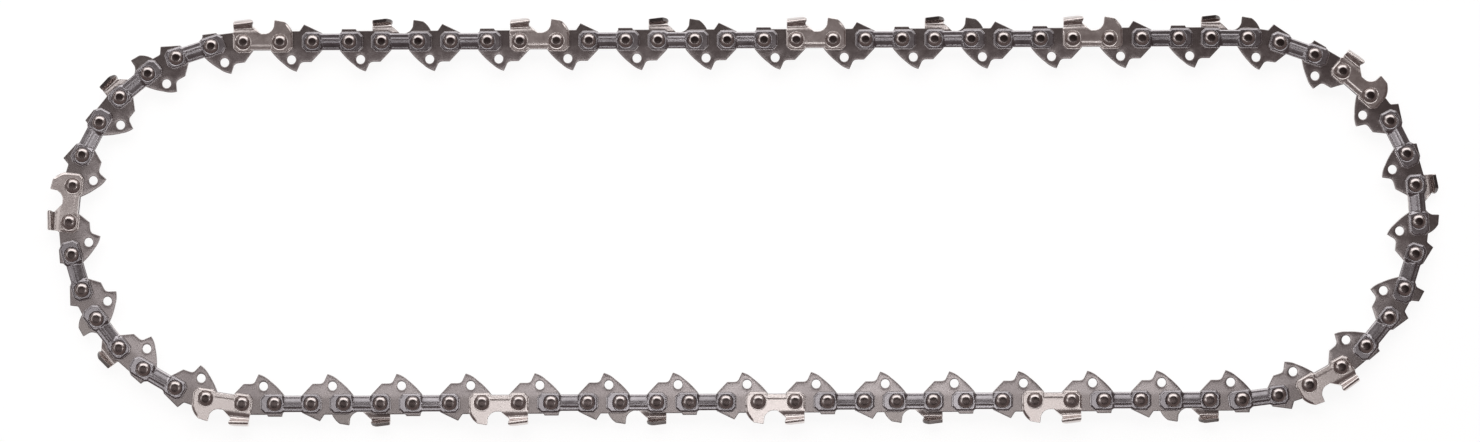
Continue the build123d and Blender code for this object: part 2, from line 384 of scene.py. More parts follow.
def waist_folds(start, end, heights):
    """Points along the waist's folds, at these heights, and across both of its steps."""
    steps = np.linspace(PAD_EDGE - start, PAD_EDGE - end, STEP_COLUMNS)
    between = np.linspace(-steps[0], steps[0], WAIST_COLUMNS)[1:-1]
    points = [(x, y) for y in heights for x in np.concatenate([-steps, between, steps])]
    clear = SINK_TOP + FOLD_TO_SINK
    return np.array([(x, y) for x, y in points if math.hypot(abs(x) - SIDE_EYE, y) > clear])


# Drive link: its corners are x, y and radius

EYE_REACH = 2.63
EYE_CORNER = 1.3
EYE_ROUND = 0.8
NECK_ROUND = 0.5
DRIVE_END = DRIVE_EYE + EYE_REACH
DRIVE_TOP = 2.95
SHOULDER = DRIVE_TOP - EYE_CORNER
FLANK_TOP = -2.25
REAR_FLANK = (-DRIVE_END, FLANK_TOP, 0.9)
FRONT_FLANK = (DRIVE_END, FLANK_TOP, 0.9)
TANG_HEEL = (-3.0, -6.3, 0.6)
HOOK = (0.0, -8.0, 0.12)
HOOK_FRONT = (0.7, -6.5, 0.3)
TANG_GULLET = (2.2, -5.4, 0.4)
TOE = (4.0, -5.4, 0.25)
FLANK_BULGE = -0.2
HEEL_BULGE = -0.22
TANG_GULLET_BULGE = 0.34
TANG_HOLE = (-1.35, -4.75, 1.2)
FIN_FOOT = (0.9, DRIVE_TOP, 0.5)
FIN_TIP = (2.1, 4.75, 0.15)
FIN_END = (DRIVE_END - 0.1, 2.45, 0.3)
BUMP_WIDTH = 4.1
BUMP_TOP = {"plain": 3.45, "guard": 5.1}
BUMP_RAMP = {"plain": 0.3, "guard": 0.9}
BUMP_FOOT_ROUND = 0.2
BUMP_ROUND = 0.25
BUMP_REAR_ROUND = 0.3
TANG_ROLL = 0.03
TANG_ROLL_WIDTH = 0.9
TANG_ROLL_DEPTHS = (1.5, 3.0)
# Painted shade on the drive link's upper part, where it lies between the side links, and the heights over
# which it fades in
DRIVE_PAINTED_SHADE = 0.8
DRIVE_PAINTED_SHADE_HEIGHTS = (-2.6, -0.8)


def drive_link(kind):
    """Stamped link with a hooked tang, whose faces roll off slightly towards its sheared edges.

    A bumper has a fin ahead, a plain link a bump behind, and the guard, where the sequence is joined, both.
    """
    front_top = [(DRIVE_END, SHOULDER, EYE_ROUND), (DRIVE_END - EYE_CORNER, DRIVE_TOP, EYE_ROUND)]
    if kind in ("bumper", "guard"):
        front_top = [(DRIVE_END, SHOULDER, NECK_ROUND), FIN_END, FIN_TIP, FIN_FOOT]
    rear_top = [(EYE_CORNER - DRIVE_END, DRIVE_TOP, EYE_ROUND), (-DRIVE_END, SHOULDER, EYE_ROUND)]
    if kind in ("plain", "guard"):
        height = BUMP_TOP[kind]
        rear = -DRIVE_EYE - BUMP_WIDTH / 2
        front = -DRIVE_EYE + BUMP_WIDTH / 2
        rear_top = [
            (front, DRIVE_TOP, BUMP_FOOT_ROUND),
            (front - BUMP_RAMP[kind], height, BUMP_ROUND),
            (rear, height, BUMP_ROUND),
            (rear, DRIVE_TOP, BUMP_REAR_ROUND),
            (-DRIVE_END, SHOULDER, NECK_ROUND),
        ]
    corners = [REAR_FLANK]
    corners += arc(REAR_FLANK, TANG_HEEL, FLANK_BULGE)
    corners += [TANG_HEEL]
    corners += arc(TANG_HEEL, HOOK, HEEL_BULGE)
    corners += [HOOK, HOOK_FRONT]
    corners += arc(HOOK_FRONT, TANG_GULLET, TANG_GULLET_BULGE)
    corners += [TANG_GULLET, TOE, FRONT_FLANK]
    outline = rounded_loop(corners + front_top + rear_top, DRIVE_EDGE_STEP)
    holes = bores(DRIVE_EYE, DRIVE_PLAY) + [circle(*TANG_HOLE)]

    def relief(x, y, near):
        rolled = TANG_ROLL * (1 - smooth(near, 0.0, TANG_ROLL_WIDTH))
        return rolled * smooth(-y, *TANG_ROLL_DEPTHS)

    def lay(points):
        return points

    # Painted shade: darker from the tang upwards, fully from just below the rivets, between the side links
    def bareness_and_shade(x, y, back):
        return DRIVE_PAINTED_SHADE * smooth(y, *DRIVE_PAINTED_SHADE_HEIGHTS)

    return plate(outline, holes, DRIVE_THICKNESS, DRIVE_RIM, (relief, relief), lay, DRIVE_STEPS, bareness_and_shade)


# Tie strap

STRAP_REAR = 2.85
STRAP_FRONT = 3.8
STRAP_END_HALF = 2.7
STRAP_WAIST_HALF = 2.2
STRAP_WAIST_STEP = (0.75, 0.35)
WAIST_SUNK = 0.1
WAIST_FALL = 0.4
WAIST_ROLL = 0.12
WAIST_ROLL_WIDTH = 0.35
SLOPE_TOP = -0.25
SLOPE_FOOT = -1.58
BEAD_Y = 0.68
BEAD_RISE = 0.12
BEAD_HALF = 0.28
BEAD_FOLDS = (-2, -1.2, -0.6, 0, 0.6, 1.2, 2)
SLOPE_FOLD_HALF = 0.07
EDGE_FOLD_Y = 1.6


def strap_outline():
    """Two pads with clipped corners, and a narrower waist between them."""
    rear = -SIDE_EYE - STRAP_REAR
    front = SIDE_EYE + STRAP_FRONT
    clipped = STRAP_END_HALF - PAD_CLIP
    upper = [
        (front, clipped, PAD_ROUND),
        (front - PAD_CLIP, STRAP_END_HALF, PAD_ROUND),
        (PAD_EDGE, STRAP_END_HALF, PAD_ROUND),
        (WAIST_EDGE, STRAP_WAIST_HALF, WAIST_ROUND),
        (-WAIST_EDGE, STRAP_WAIST_HALF, WAIST_ROUND),
        (-PAD_EDGE, STRAP_END_HALF, PAD_ROUND),
        (rear + PAD_CLIP, STRAP_END_HALF, PAD_ROUND),
        (rear, clipped, PAD_ROUND),
    ]
    lower = [(x, -y, r) for x, y, r in reversed(upper)]
    return rounded_loop(upper + lower, SIDE_EDGE_STEP)


def tie_strap():
    """Strap of the upper side: stepped pads round the rivets, and a waist with a bead and a slope."""

    def relief(x, y, near):
        waist = waist_share(x, *STRAP_WAIST_STEP)
        slope = WAIST_FALL * np.clip((SLOPE_TOP - y) / (SLOPE_TOP - SLOPE_FOOT), 0, 1)
        bead = BEAD_RISE * np.exp(-((y - BEAD_Y) / BEAD_HALF) ** 2)
        waisted = WAIST_SUNK + slope - bead + WAIST_ROLL * (1 - smooth(near, 0.0, WAIST_ROLL_WIDTH))
        return waist * waisted + (1 - waist) * pad_step(x, y, near) + countersink(x, y)

    def lay(points):
        return points + np.array([0, 0, SIDE_MIDDLE])

    heights = [BEAD_Y + BEAD_HALF * k for k in BEAD_FOLDS]
    heights += [SLOPE_TOP + SLOPE_FOLD_HALF, SLOPE_TOP - SLOPE_FOLD_HALF, (SLOPE_TOP + SLOPE_FOOT) / 2]
    folds = waist_folds(*STRAP_WAIST_STEP, heights + [EDGE_FOLD_Y])
    return plate(strap_outline(), bores(SIDE_EYE, SIDE_PLAY), SIDE_THICKNESS, SIDE_RIM, (relief, plain),
                 lay, STRAP_STEPS, folds=folds)


# Cutter: its corners are x, y and radius

CUTTER_REAR = -SIDE_EYE - 2.75
CUTTER_FRONT = SIDE_EYE + 3.5
CUTTER_BOTTOM = -2.8
CUTTER_WAIST = -2.1
CUTTER_WAIST_STEP = (0.55, 0.15)
GAUGE_CHIN = (CUTTER_FRONT, 2.5, 0.8)
GAUGE_BROW = (6.2, 5.5, 0.4)
GAUGE_TIP = (3.55, 5.95, 0.3)
GAUGE_HEEL = (3.35, 4.1, 0.3)
CUTTER_GULLET = (1.3, 2.3, 0.4)
TOOTH_TOE = (-0.1, 2.25, 0.3)
BROW_BULGE = -0.3
CUTTER_GULLET_BULGE = 0.35
CREASE_Y = -1.05
CREASE_DEPTH = 0.05
CREASE_HALF = 0.16
LOWER_SUNK = 0.05
LOWER_DEPTHS = (1.0, 1.3)
STEP_FADE_HEIGHTS = (1.2, 2.2)
BROW_SUNK = 0.2
BROW_WIDTHS = (0.15, 0.65)
BROW_REACHES = (6.2, 7.0)
BROW_HEIGHTS = (0.8, 2.0)
WAIST_FOLD_HEIGHTS = (0.9, 0.3, -0.3, -0.7, -0.85, -0.95, -1.05, -1.15, -1.3, -1.6)

# The tooth: its section at the cutting edge, how that changes towards the heel, and the round file

TOOTH_REAR_X = -7.5
TOOTH_FRONT_X = 0.6
EDGE_X = -1.64
FOOT_RUN = 0.8
TOOTH_FOOT = 2.6
SIDE_DIP = 0.33
SIDE_DIP_Y = 4.15
SIDE_DIP_DROP = 0.5
FLARE_TOP = 5.15
KERF_HALF = 3.1
SIDE_DROP = 0.35
CORNER_TOP = 6.15
CORNER_SETBACK = 0.55
TOP_HEIGHT = 6.55
TOP_DROP = 0.7
TOP_REACH = -0.4
TOOTH_SHEET = (SIDE_THICKNESS, 1.05, 0.95, 0.95, 0.95)
NOOK_EASE = 0.15
CUT_ROUNDS = 3
CUT_SHARE = 0.25
LEAST_SHARE = -0.3
OUTER = 0
INNER = 1
FILE_RADIUS = 2.0
FILE_ABOVE = 0.8
FILING_ANGLE = 30.0
FILED_FROM = 4.1
FILED_CORNERS = 24
FILED_SAMPLES = 40
HEEL_TOP_ROUND = 0.4
HEEL_ROUND = 0.3
HEEL_STEP = 0.3
# Cutter's dark tone: painted shade over its bare ground edges, whose width this gives, and painted shade on
# its back faces, light on the tooth and strong on the link and gauge
GROUND_RIM = (-0.06, -0.02)
TOOTH_BACK_PAINTED_SHADE = 0.14
LINK_BACK_PAINTED_SHADE = 0.68


def crossing(point, along, other, other_along):
    """Where two lines meet."""
    step = np.linalg.solve(np.column_stack([along, -other_along]), other - point)
    return point + along * step[0]


def rounded_line(corners):
    """Line with its corners cut off, and again the corners that this leaves."""
    for _ in range(CUT_ROUNDS):
        behind = corners[:-1]
        ahead = corners[1:]
        cut = np.empty((2 * len(behind), 2))
        cut[0::2] = (1 - CUT_SHARE) * behind + CUT_SHARE * ahead
        cut[1::2] = CUT_SHARE * behind + (1 - CUT_SHARE) * ahead
        corners = np.concatenate([corners[:1], cut, corners[-1:]])
    return corners


def tooth_lines(share):
    """Outer and inner line of the tooth's section as (y, z), from its foot to the end of the top plate.

    The share is 0 at the cutting edge and 1 at the heel, which is lower and narrower.
    """
    drop = share * TOP_DROP
    outer = KERF_HALF - share * SIDE_DROP
    corners = np.array([
        (TOOTH_FOOT - FOOT_RUN, SIDE_OUTER),
        (TOOTH_FOOT, SIDE_OUTER),
        (SIDE_DIP_Y - SIDE_DIP_DROP * drop, SIDE_OUTER - SIDE_DIP),
        (FLARE_TOP - drop, outer),
        (CORNER_TOP - drop, outer - CORNER_SETBACK),
        (TOP_HEIGHT - drop, TOP_REACH),
    ])
    along = np.diff(corners, axis=0)
    along /= np.hypot(*along.T)[:, None]
    inwards = np.stack([along[:, 1], -along[:, 0]], 1)
    backs = corners[:-1] + inwards * np.array(TOOTH_SHEET)[:, None]
    foot, side, flare, _, top = range(len(along))
    nook = crossing(backs[flare], along[flare], backs[top], along[top])
    inner = np.array([
        backs[foot],
        crossing(backs[foot], along[foot], backs[side], along[side]),
        crossing(backs[side], along[side], backs[flare], along[flare]),
        nook - along[flare] * NOOK_EASE,
        nook + along[top] * NOOK_EASE,
        corners[-1] + (TOOTH_SHEET[top] / inwards[top, 0], 0),
    ])
    return rounded_line(corners), rounded_line(inner)


EDGE_LINES = tooth_lines(0.0)
HEEL_LINES = tooth_lines(1.0)
LINE_LENGTHS = np.concatenate([[0], np.cumsum(np.hypot(*np.diff(EDGE_LINES[OUTER], axis=0).T))])
LINE_START = EDGE_LINES[OUTER][0, 0]
TOOTH_END = LINE_START + LINE_LENGTHS[-1]


def tooth_point(x, s, side):
    """Outer or inner surface of the tooth, as y and z, at x and a length s along the edge's section."""
    share = np.clip((EDGE_X - x) / (EDGE_X - TOOTH_REAR_X), LEAST_SHARE, 1)
    along = s - LINE_START
    y0, z0 = (np.interp(along, LINE_LENGTHS, EDGE_LINES[side][:, k]) for k in (0, 1))
    y1, z1 = (np.interp(along, LINE_LENGTHS, HEEL_LINES[side][:, k]) for k in (0, 1))
    return y0 + (y1 - y0) * share, z0 + (z1 - z0) * share


def filed_x(s):
    """Where the round file has cut the tooth's front, at a length s along its section."""
    y, z = (float(v[0]) for v in tooth_point(np.array([EDGE_X]), np.array([s]), OUTER))
    centre_y = TOP_HEIGHT + FILE_ABOVE - FILE_RADIUS
    centre_x = EDGE_X + math.sqrt(FILE_RADIUS ** 2 - (TOP_HEIGHT - centre_y) ** 2)
    slide = math.tan(math.radians(FILING_ANGLE)) * (KERF_HALF - z)
    up = max(-FILE_RADIUS, min(FILE_RADIUS, y - centre_y))
    return centre_x - slide - math.sqrt(FILE_RADIUS ** 2 - up ** 2)


def cutter_outline():
    """Flat blank of a cutter: its side link and gauge as they are, its tooth unrolled upwards."""
    clipped = CUTTER_BOTTOM + PAD_CLIP
    corners = [
        (CUTTER_REAR, clipped, PAD_ROUND),
        (CUTTER_REAR + PAD_CLIP, CUTTER_BOTTOM, PAD_ROUND),
        (-PAD_EDGE, CUTTER_BOTTOM, PAD_ROUND),
        (-WAIST_EDGE, CUTTER_WAIST, WAIST_ROUND),
        (WAIST_EDGE, CUTTER_WAIST, WAIST_ROUND),
        (PAD_EDGE, CUTTER_BOTTOM, PAD_ROUND),
        (CUTTER_FRONT - PAD_CLIP, CUTTER_BOTTOM, PAD_ROUND),
        (CUTTER_FRONT, clipped, PAD_ROUND),
        GAUGE_CHIN,
    ]
    corners += arc(GAUGE_CHIN, GAUGE_BROW, BROW_BULGE)
    corners += [GAUGE_BROW, GAUGE_TIP, GAUGE_HEEL]
    corners += arc(GAUGE_HEEL, CUTTER_GULLET, CUTTER_GULLET_BULGE)
    corners += [CUTTER_GULLET, TOOTH_TOE]
    corners += [(filed_x(s), s, 0.0) for s in np.linspace(FILED_FROM, TOOTH_END, FILED_CORNERS)]
    corners += [
        (TOOTH_REAR_X, TOOTH_END, HEEL_TOP_ROUND),
        (TOOTH_REAR_X, TOOTH_FOOT + HEEL_STEP, HEEL_ROUND),
        (CUTTER_REAR, TOOTH_FOOT, HEEL_ROUND),
    ]
    return rounded_loop(corners, SIDE_EDGE_STEP)


def form_cutter(points):
    """Carries the flat blank's points onto the formed cutter, through its thickness."""
    x, s, height = points.T
    y = s.copy()
    z = SIDE_MIDDLE + height
    tooth = (x < TOOTH_FRONT_X) & (s > LINE_START)
    depth = 0.5 - height[tooth] / SIDE_THICKNESS
    outer = tooth_point(x[tooth], s[tooth], OUTER)
    inner = tooth_point(x[tooth], s[tooth], INNER)
    y[tooth] = outer[0] + (inner[0] - outer[0]) * depth
    z[tooth] = outer[1] + (inner[1] - outer[1]) * depth
    return np.stack([x, y, z], 1)


def cutter():
    """Right cutter: plated side link with a depth gauge ahead and the formed tooth behind."""

    def relief(x, y, near):
        waist = waist_share(x, *CUTTER_WAIST_STEP)
        groove = CREASE_DEPTH * np.exp(-((y - CREASE_Y) / CREASE_HALF) ** 2)
        crease = groove + LOWER_SUNK * smooth(-y, *LOWER_DEPTHS)
        step = pad_step(x, y, near) * (1 - smooth(y, *STEP_FADE_HEIGHTS))
        brow = BROW_SUNK * (1 - smooth(near, *BROW_WIDTHS))
        brow = brow * smooth(x, *BROW_REACHES) * smooth(y, *BROW_HEIGHTS)
        return crease * waist + step * (1 - waist) + brow + countersink(x, y)

    filed = np.linspace(FILED_FROM, TOOTH_END, FILED_SAMPLES)
    filed_edge = [filed_x(s) for s in filed]
    ground_from, ground_full = GROUND_RIM

    # Painted shade: dark over the bare ground steel of the top plate's end and the filed front, and on the
    # back faces
    def bareness_and_shade(x, y, back):
        tooth = x < TOOTH_FRONT_X
        cut_end = smooth(y, TOOTH_END + ground_from, TOOTH_END + ground_full) * tooth
        past_edge = smooth(x - np.interp(y, filed, filed_edge), ground_from, ground_full)
        front = past_edge * tooth * (y > FILED_FROM)
        inner = np.where(tooth, TOOTH_BACK_PAINTED_SHADE, LINK_BACK_PAINTED_SHADE) * back
        return np.maximum.reduce([inner, cut_end, front])

    folds = waist_folds(*CUTTER_WAIST_STEP, WAIST_FOLD_HEIGHTS)
    return plate(cutter_outline(), bores(SIDE_EYE, SIDE_PLAY), SIDE_THICKNESS, SIDE_RIM, (relief, plain),
                 form_cutter, CUTTER_STEPS, bareness_and_shade, folds)


# Rivet

HEAD_RADIUS = 1.85
HEAD_HEIGHT = 0.55
HEAD_UNDERCUT = 0.05
HEAD_GAP = 0.01
CAP_RADIUS = 0.9
CAP_TILT = 4.0
EDGE_TILT = 45.0
CAP_ROWS = 3
FLANK_ROWS = 9
RIVET_SIDES = 32
SHINE_WIDTH = 0.35


def rivet():
    """Turned rivet: a shank and two staked heads, each a nearly flat cap with a rounded flank, the flank
    painted bright as a highlight.
    """
    foot = SIDE_OUTER - SINK_DEPTH + HEAD_GAP
    cap = np.linspace(0, CAP_RADIUS, CAP_ROWS)
    flank = np.linspace(CAP_RADIUS, HEAD_RADIUS, FLANK_ROWS)[1:]
    radii = np.concatenate([cap, flank])
    between = (radii[1:] + radii[:-1]) / 2
    share = np.clip((between - CAP_RADIUS) / (HEAD_RADIUS - CAP_RADIUS), 0, 1)
    tilt = CAP_TILT * np.minimum(between / CAP_RADIUS, 1) + (EDGE_TILT - CAP_TILT) * share
    fall = np.concatenate([[0], np.cumsum(np.diff(radii) * np.tan(np.radians(tilt)))])
    dome = [(r, SIDE_OUTER + HEAD_HEIGHT - drop) for r, drop in zip(radii[::-1], fall[::-1])]
    half = [(SHANK_RADIUS, 0.0), (SHANK_RADIUS, foot), (HEAD_RADIUS - HEAD_UNDERCUT, foot)] + dome
    profile = [(r, -z) for r, z in reversed(half[1:])] + half
    angles = np.arange(RIVET_SIDES) * 2 * math.pi / RIVET_SIDES
    verts = []
    # Painted highlight: the flank takes the bright tone, the cap keeps the dark one
    shine = []
    for r, z in profile[1:-1]:
        verts += [(r * math.cos(a), r * math.sin(a), z) for a in angles]
        shine += [float(smooth(r, CAP_RADIUS, CAP_RADIUS + SHINE_WIDTH))] * RIVET_SIDES
    faces = []
    rows = len(profile) - 2
    for row in range(rows - 1):
        for k in range(RIVET_SIDES):
            a = row * RIVET_SIDES + k
            b = row * RIVET_SIDES + (k + 1) % RIVET_SIDES
            faces.append((a, b, b + RIVET_SIDES, a + RIVET_SIDES))
    bottom = len(verts)
    top = bottom + 1
    verts += [(0, 0, profile[0][1]), (0, 0, profile[-1][1])]
    shine += [0.0, 0.0]
    last = (rows - 1) * RIVET_SIDES
    for k in range(RIVET_SIDES):
        faces.append((bottom, (k + 1) % RIVET_SIDES, k))
        faces.append((top, last + k, last + (k + 1) % RIVET_SIDES))
    return np.array(verts), faces, np.array(shine), np.zeros(len(verts))


def upside_down(shape):
    """The same link for the lower side."""
    verts, faces, painted_rim_light, bare_and_shade = shape
    return verts * np.array([1, 1, -1]), [f[::-1] for f in faces], painted_rim_light, bare_and_shade


SHAPES = {kind: drive_link(kind) for kind in ("plain", "bumper", "guard")}
SHAPES["upper_strap"] = tie_strap()
SHAPES["lower_strap"] = upside_down(SHAPES["upper_strap"])
SHAPES["right_cutter"] = cutter()
SHAPES["left_cutter"] = upside_down(SHAPES["right_cutter"])
SHAPES["rivet"] = rivet()


# Places along the loop

def point_on_loop(distance, straight):
    """Point of the rivet line at a distance past the start of the upper straight."""
    half_loop = straight + math.pi * END_RADIUS
    distance %= 2 * half_loop
    side = 1
    if distance >= half_loop:
        distance -= half_loop
        side = -1
    if distance < straight:
        return np.array([side * (distance - straight / 2), side * END_RADIUS])
    turn = math.pi / 2 - (distance - straight) / END_RADIUS
    x = straight / 2 + END_RADIUS * math.cos(turn)
    return np.array([side * x, side * END_RADIUS * math.sin(turn)])


def bisect(is_low, low, high):
    """Value between low and high where is_low stops being true."""
    for _ in range(BISECT_ROUNDS):
        middle = (low + high) / 2
        if is_low(middle):
            low = middle
        else:
            high = middle
    return (low + high) / 2


def walk(straight):
    """Rivets stepped along the loop, and the distance left over after the last link."""
    travelled = FIRST_RIVET
    points = [point_on_loop(travelled, straight)]
    for link in range(LINK_COUNT):
        pitch = DRIVE_PITCH if link % 2 else SIDE_PITCH
        here = points[-1]

        def too_near(distance):
            return np.hypot(*(point_on_loop(distance, straight) - here)) < pitch

        travelled = bisect(too_near, travelled + pitch / 2, travelled + 1.5 * pitch)
        points.append(point_on_loop(travelled, straight))
    length = 2 * straight + 2 * math.pi * END_RADIUS
    return points, FIRST_RIVET + length - travelled


STRAIGHT_LENGTH = bisect(lambda length: walk(length)[1] < 0, 0, LINK_COUNT * SIDE_PITCH / 2)
RIVETS = walk(STRAIGHT_LENGTH)[0][:LINK_COUNT]


def pair_kind(pair):
    """What the pair holds: a cutter on one side, or tie straps on both."""
    if pair == EXTRA_TIE_INDEX:
        return "tie_strap"
    return SEQUENCE[(pair - (pair > EXTRA_TIE_INDEX)) % len(SEQUENCE)]


def drive_kind(drive):
    """Bumper after a cutter, plain before one, and guard between two pairs of straps."""
    if pair_kind(drive) != "tie_strap":
        return "bumper"
    return "plain" if pair_kind((drive + 1) % DRIVE_LINKS) != "tie_strap" else "guard"


def link_place(index):
    """Middle and heading of the link that starts at a rivet."""
    rear = RIVETS[index % LINK_COUNT]
    front = RIVETS[(index + 1) % LINK_COUNT]
    ahead = front - rear
    return (rear + front) / 2, math.atan2(ahead[1], ahead[0])


# Copies and pieces

chance = np.random.default_rng(SEED)


def copies_of(shape, indexes):
    """Copies of a link at the rivets with these numbers."""
    return [(shape, *link_place(index)) for index in indexes]


def rivet_copies(pairs):
    """Rivets of these pairs, each turned its own way."""
    found = []
    for pair in pairs:
        for index in (2 * pair, 2 * pair + 1):
            found.append(("rivet", RIVETS[index], chance.uniform(0, 2 * math.pi)))
    return found


def join_copies(copies):
    """Vertices in metres and faces of a node's links, and the shares its material reads at each vertex."""
    verts = []
    faces = []
    # Shares: painted rim light, the dark tone of painted shade and bare steel, and each link's random tone
    shares = {"rim": [], "bare_and_shade": [], "shade": []}
    count = 0
    for shape, place, heading in copies:
        points, polygons, painted_rim_light, bare_and_shade = SHAPES[shape]
        c = math.cos(heading)
        s = math.sin(heading)
        turned = points @ np.array([[c, s, 0], [-s, c, 0], [0, 0, 1]])
        verts.append(turned + np.array([place[0], place[1], MIDDLE_HEIGHT]))
        faces += [tuple(i + count for i in polygon) for polygon in polygons]
        shares["rim"].append(painted_rim_light)
        shares["bare_and_shade"].append(bare_and_shade)
        shares["shade"].append(np.full(len(points), chance.uniform(0, 1)))
        count += len(points)
    shares = {name: np.concatenate(values) for name, values in shares.items()}
    return np.concatenate(verts) * MM, faces, shares


def sharpen_walls(mesh):
    """Marks a plate's edges between its walls, which are quads, and its faces, which are triangles."""
    sizes = np.empty(len(mesh.polygons), np.int32)
    mesh.polygons.foreach_get("loop_total", sizes)
    edge_of_corner = np.empty(len(mesh.loops), np.int32)
    mesh.loops.foreach_get("edge_index", edge_of_corner)
    size_of_corner = np.repeat(sizes, sizes)
    walls = np.zeros(len(mesh.edges), bool)
    walls[edge_of_corner[size_of_corner == 4]] = True
    faces = np.zeros(len(mesh.edges), bool)
    faces[edge_of_corner[size_of_corner == 3]] = True
    sharp = np.empty(len(mesh.edges), bool)
    mesh.edges.foreach_get("use_edge_sharp", sharp)
    mesh.edges.foreach_set("use_edge_sharp", sharp | (walls & faces))


def add_piece(name, node, copies, material_slot):
    """One mesh for some links of a node, riding on the node's body."""
    verts, faces, shares = join_copies(copies)
    mesh = bpy.data.meshes.new(name)
    mesh.from_pydata(verts.tolist(), [], faces)
    for share, values in shares.items():
        attribute = mesh.attributes.new(share, "FLOAT", "POINT")
        attribute.data.foreach_set("value", values.astype(np.float32))
    mesh.shade_smooth()
    mesh.set_sharp_from_angle(angle=SHARP_ANGLE)
    if material_slot != "rivet_steel":
        sharpen_walls(mesh)
    mesh.materials.append(MATERIALS[material_slot])
    piece = bpy.data.objects.new(name, mesh)
    weighted = piece.modifiers.new("weighted", "WEIGHTED_NORMAL")
    weighted.keep_sharp = True
    bpy.context.scene.collection.objects.link(piece)
    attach(piece, frame["nodes"][node]["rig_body"])
    return piece


def dress(node, copies, material_slot):
    """Piece that stands in for a whole node."""
    piece = add_piece(f"{node}_links", node, copies, material_slot)
    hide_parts(node)


# Materials: linear tones, and how strongly the grain shows

# Edge tones are painted rim light, on rivets a painted highlight; the dark tones laid over are painted
# shade, on cutters also bare ground steel
STEELS = {
    "cutter_steel": {
        "dark": (0.53, 0.475, 0.46),
        "light": (0.78, 0.72, 0.70),
        "painted_rim_light": (0.86, 0.80, 0.78),
        # Painted shade, over the bare steel of the ground edges
        "bare_and_shade": (0.12, 0.105, 0.102),
        "grain": 0.4,
    },
    "strap_steel": {
        "dark": (0.243, 0.226, 0.238),
        "light": (0.44, 0.42, 0.44),
        "painted_rim_light": (0.56, 0.53, 0.54),
        "grain": 0.4,
    },
    "drive_link_steel": {
        "dark": (0.25, 0.22, 0.22),
        "light": (0.47, 0.43, 0.43),
        "painted_rim_light": (0.40, 0.36, 0.355),
        # Painted shade on the upper part of the drive link
        "bare_and_shade": (0.24, 0.212, 0.208),
        "grain": 0.6,
    },
    "rivet_steel": {
        # Rivet: the very dark cap tone is oxide darkened further as a painted dark reflection, the flank
        # tone a painted highlight
        "dark": (0.055, 0.043, 0.041),
        "light": (0.125, 0.10, 0.097),
        "painted_rim_light": (0.62, 0.565, 0.55),
        "grain": 0.4,
    },
}
MOTTLE = {"Scale": 420, "Detail": 6, "Roughness": 0.65}
GRAIN = {"Scale": 2600, "Detail": 3}
GRAIN_HEIGHT = 0.000014
ROUGHNESS = {"To Min": 0.20, "To Max": 0.32}
LINK_SHARE = 0.35
DARK_AT = 0.35
LIGHT_AT = 0.95


def add_node(nodes, kind, inputs=None, **settings):
    """New shader node, with some of its settings and then some of its inputs given."""
    node = nodes.new(f"ShaderNode{kind}")
    for name, value in settings.items():
        setattr(node, name, value)
    for name, value in (inputs or {}).items():
        node.inputs[name].default_value = value
    return node


def lay_over(nodes, links, colour, tone, attribute):
    """Colour with a tone over it, as far as a vertex attribute says."""
    share = add_node(nodes, "Attribute", attribute_name=attribute)
    mix = add_node(nodes, "Mix", {"B": (*tone, 1)}, data_type="RGBA")
    links.new(share.outputs["Fac"], mix.inputs["Factor"])
    links.new(colour, mix.inputs["A"])
    return mix.outputs["Result"]


def steel(name, dark, light, painted_rim_light, grain, bare_and_shade=None):
    """Stamped steel: mottled tone, each link a little different, with a lighter tone painted along its
    edges as rim light.

    A dark tone shows painted shade, and on cutters also the bare steel of their ground edges.
    """
    material = bpy.data.materials.new(name)
    material.use_nodes = True
    nodes = material.node_tree.nodes
    links = material.node_tree.links
    shader = nodes["Principled BSDF"]
    shader.inputs["Metallic"].default_value = 1.0
    coordinates = add_node(nodes, "TexCoord")
    mottle = add_node(nodes, "TexNoise", MOTTLE)
    links.new(coordinates.outputs["Object"], mottle.inputs["Vector"])
    shade = add_node(nodes, "Attribute", attribute_name="shade")
    tone = add_node(nodes, "Math", {1: LINK_SHARE}, operation="MULTIPLY_ADD")
    links.new(shade.outputs["Fac"], tone.inputs[0])
    links.new(mottle.outputs["Fac"], tone.inputs[2])
    ramp = add_node(nodes, "ValToRGB")
    ramp.color_ramp.elements[0].position = DARK_AT
    ramp.color_ramp.elements[0].color = (*dark, 1)
    ramp.color_ramp.elements[1].position = LIGHT_AT
    ramp.color_ramp.elements[1].color = (*light, 1)
    links.new(tone.outputs[0], ramp.inputs["Fac"])
    # Painted rim light along the edges
    colour = lay_over(nodes, links, ramp.outputs["Color"], painted_rim_light, "rim")
    # Then the dark tone: painted shade, and on cutters the bare steel of ground edges
    if bare_and_shade:
        colour = lay_over(nodes, links, colour, bare_and_shade, "bare_and_shade")
    links.new(colour, shader.inputs["Base Color"])
    rough = add_node(nodes, "MapRange", ROUGHNESS)
    links.new(mottle.outputs["Fac"], rough.inputs["Value"])
    links.new(rough.outputs["Result"], shader.inputs["Roughness"])
    fine = add_node(nodes, "TexNoise", GRAIN)
    links.new(coordinates.outputs["Object"], fine.inputs["Vector"])
    bump = add_node(nodes, "Bump", {"Strength": grain, "Distance": GRAIN_HEIGHT})
    links.new(fine.outputs["Fac"], bump.inputs["Height"])
    links.new(bump.outputs["Normal"], shader.inputs["Normal"])
    return material


MATERIALS = {name: steel(name, **tones) for name, tones in STEELS.items()}

# The runs: like links share a node

